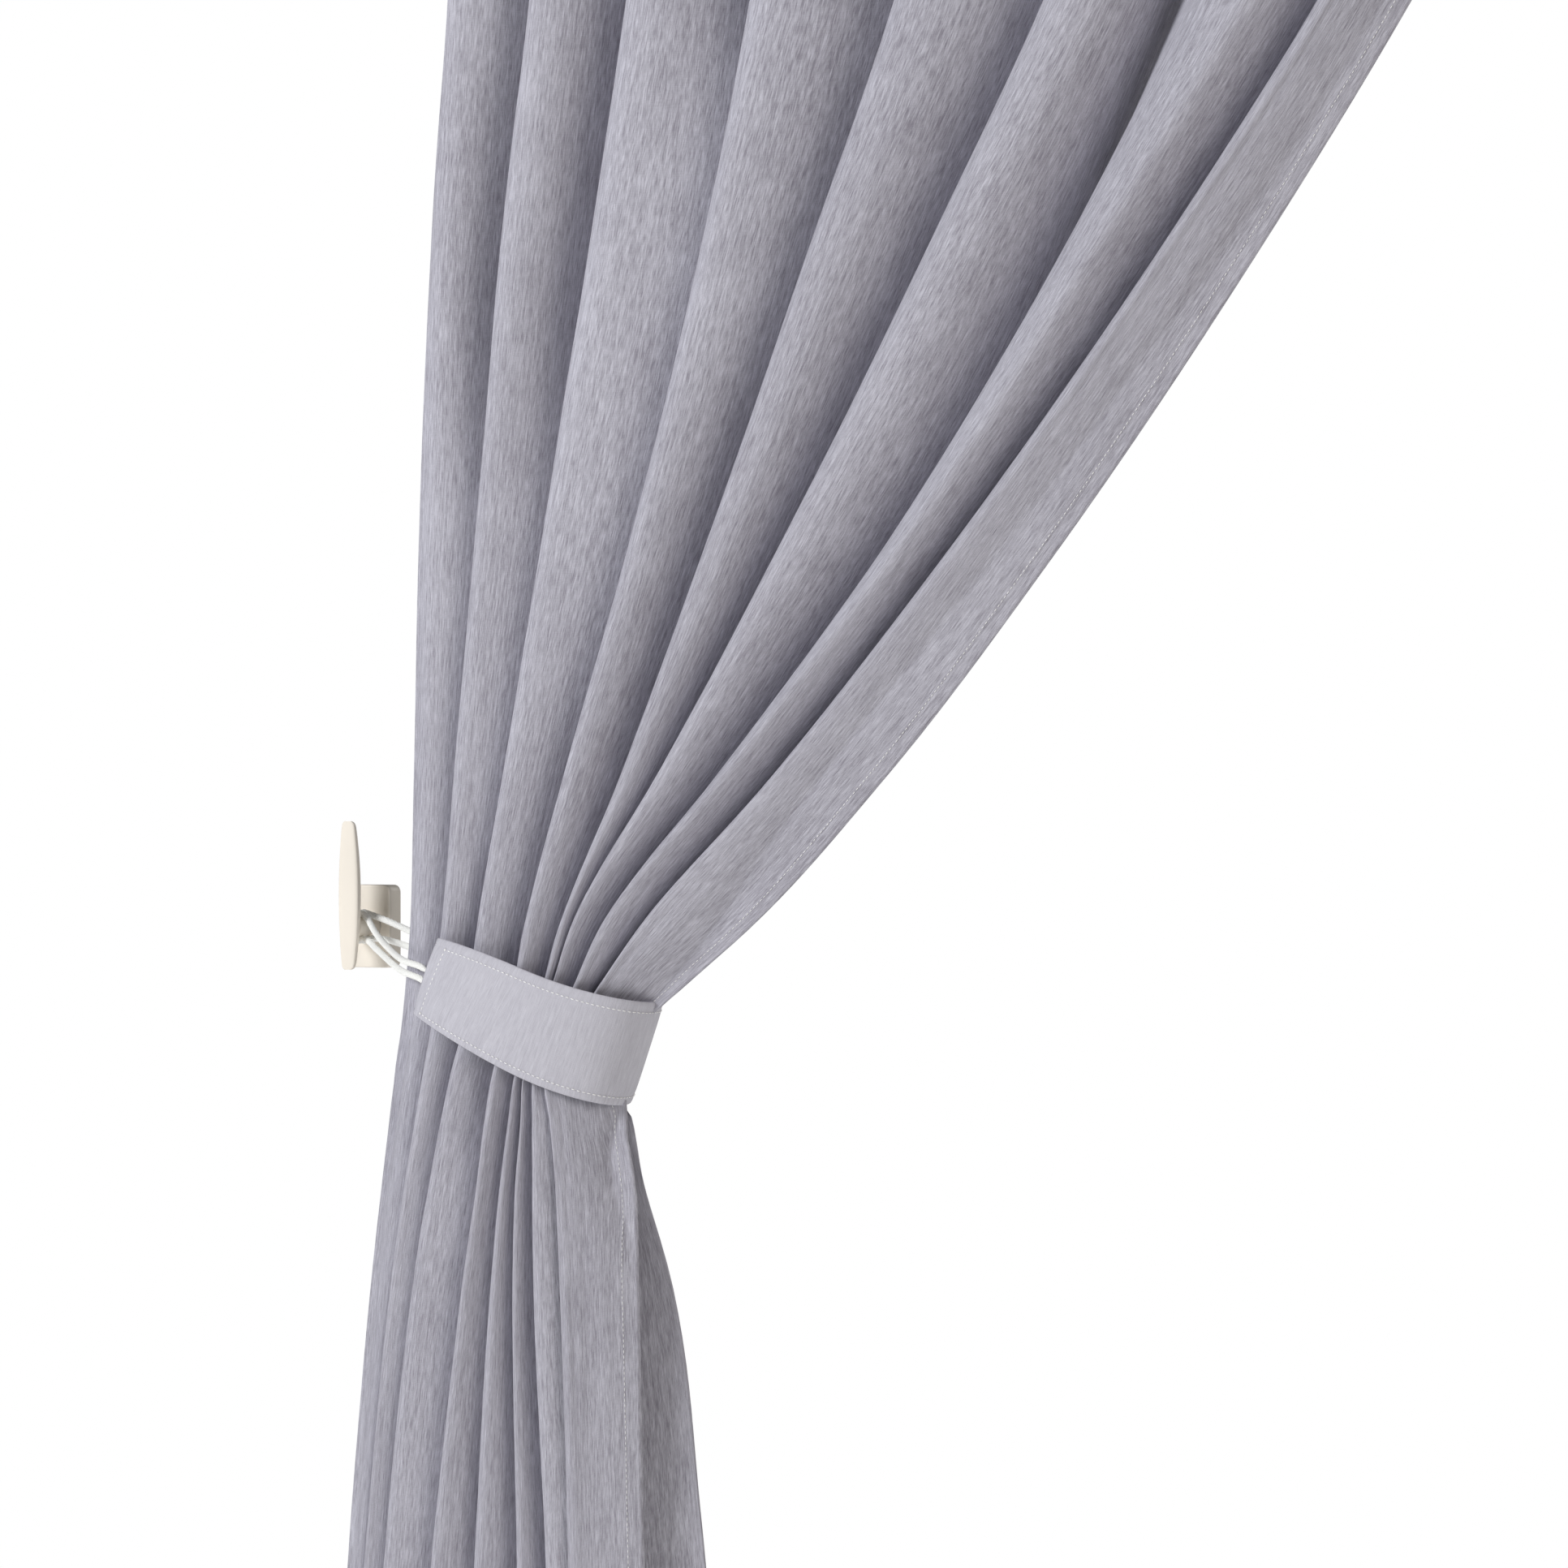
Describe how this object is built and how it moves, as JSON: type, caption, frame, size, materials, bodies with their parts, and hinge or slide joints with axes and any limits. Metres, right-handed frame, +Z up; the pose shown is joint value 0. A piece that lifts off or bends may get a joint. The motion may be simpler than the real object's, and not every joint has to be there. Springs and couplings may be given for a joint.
{
  "type": "tied-back window curtain on a rod",
  "caption": "Pleated curtain panel on a telescopic wall rod with rings, gathered to one side by a stitched tie band whose cord loops hang on a wall hook.",
  "frame": {"origin": "middle of the left bracket's back face, on the wall and level with the rod", "axes": "+X along the rod from the straight-hanging side to the leading edge, +Y into the wall, +Z up; the room is on the -Y side"},
  "size_m": [1.2601, 0.1529, 2.328],
  "materials": {
    "curtain_cloth": "matt slub weave, grey-lilac melange",
    "band_cloth": "matt slub weave, smoother and lighter",
    "heading_tape": "woven white tape",
    "cord": "soft white braid",
    "wall_hook": "smooth cream moulding",
    "rod": "cream lacquer",
    "steel_fittings": "zinc-plated steel"
  },
  "bodies": {
    "fixed_parts": {"rod_outer_tube": "rod", "finial_left": "rod", "bracket_left": "rod", "bracket_left_grub_screw": "steel_fittings", "bracket_left_screw_upper": "steel_fittings", "bracket_left_screw_lower": "steel_fittings", "bracket_right": "rod", "bracket_right_grub_screw": "steel_fittings", "bracket_right_screw_upper": "steel_fittings", "bracket_right_screw_lower": "steel_fittings", "ring_1": "rod", "eyelet_1": "steel_fittings", "pleat_hook_1": "steel_fittings", "heading_tape": "heading_tape", "curtain_panel": "curtain_cloth", "tieback_band": "band_cloth", "cord_loop_front": "cord", "cord_loop_back": "cord", "hook_base": "wall_hook", "hook_stem": "wall_hook", "hook_bar": "wall_hook", "hook_screw_upper": "steel_fittings", "hook_screw_lower": "steel_fittings"},
    "inner_rod": {"rod_inner_tube": "rod", "finial_right": "rod"},
    "ring_2_slider": {"ring_2": "rod", "eyelet_2": "steel_fittings", "pleat_hook_2": "steel_fittings"},
    "ring_3_slider": {"ring_3": "rod", "eyelet_3": "steel_fittings", "pleat_hook_3": "steel_fittings"},
    "ring_4_slider": {"ring_4": "rod", "eyelet_4": "steel_fittings", "pleat_hook_4": "steel_fittings"},
    "ring_5_slider": {"ring_5": "rod", "eyelet_5": "steel_fittings", "pleat_hook_5": "steel_fittings"},
    "ring_6_slider": {"ring_6": "rod", "eyelet_6": "steel_fittings", "pleat_hook_6": "steel_fittings"},
    "ring_7_slider": {"ring_7": "rod", "eyelet_7": "steel_fittings", "pleat_hook_7": "steel_fittings"},
    "ring_8_slider": {"ring_8": "rod", "eyelet_8": "steel_fittings", "pleat_hook_8": "steel_fittings"},
    "ring_9_slider": {"ring_9": "rod", "eyelet_9": "steel_fittings", "pleat_hook_9": "steel_fittings"}
  },
  "joints": [
    {"name": "rod_extend", "type": "slide", "parent": "fixed_parts", "child": "inner_rod", "axis": [1, 0, 0], "range_m": [0, 0.3]},
    {"name": "curtain_draw", "type": "slide", "parent": "fixed_parts", "child": "ring_9_slider", "axis": [1, 0, 0], "range_m": [-0.45, 0.08]},
    {"name": "ring_2_slide", "type": "slide", "parent": "fixed_parts", "child": "ring_2_slider", "axis": [1, 0, 0], "range_m": [-0.0119, 0.0025]},
    {"name": "ring_3_slide", "type": "slide", "parent": "fixed_parts", "child": "ring_3_slider", "axis": [1, 0, 0], "range_m": [-0.0451, 0.0084]},
    {"name": "ring_4_slide", "type": "slide", "parent": "fixed_parts", "child": "ring_4_slider", "axis": [1, 0, 0], "range_m": [-0.1122, 0.0204]},
    {"name": "ring_5_slide", "type": "slide", "parent": "fixed_parts", "child": "ring_5_slider", "axis": [1, 0, 0], "range_m": [-0.212, 0.0381]},
    {"name": "ring_6_slide", "type": "slide", "parent": "fixed_parts", "child": "ring_6_slider", "axis": [1, 0, 0], "range_m": [-0.3206, 0.0574]},
    {"name": "ring_7_slide", "type": "slide", "parent": "fixed_parts", "child": "ring_7_slider", "axis": [1, 0, 0], "range_m": [-0.4037, 0.0722]},
    {"name": "ring_8_slide", "type": "slide", "parent": "fixed_parts", "child": "ring_8_slider", "axis": [1, 0, 0], "range_m": [-0.4402, 0.0787]}
  ],
  "couplings": [
    {"joint": "ring_2_slide", "follows": "curtain_draw", "ratio": 0.0254},
    {"joint": "ring_3_slide", "follows": "curtain_draw", "ratio": 0.0992},
    {"joint": "ring_4_slide", "follows": "curtain_draw", "ratio": 0.2482},
    {"joint": "ring_5_slide", "follows": "curtain_draw", "ratio": 0.47},
    {"joint": "ring_6_slide", "follows": "curtain_draw", "ratio": 0.7114},
    {"joint": "ring_7_slide", "follows": "curtain_draw", "ratio": 0.896},
    {"joint": "ring_8_slide", "follows": "curtain_draw", "ratio": 0.9772}
  ]
}
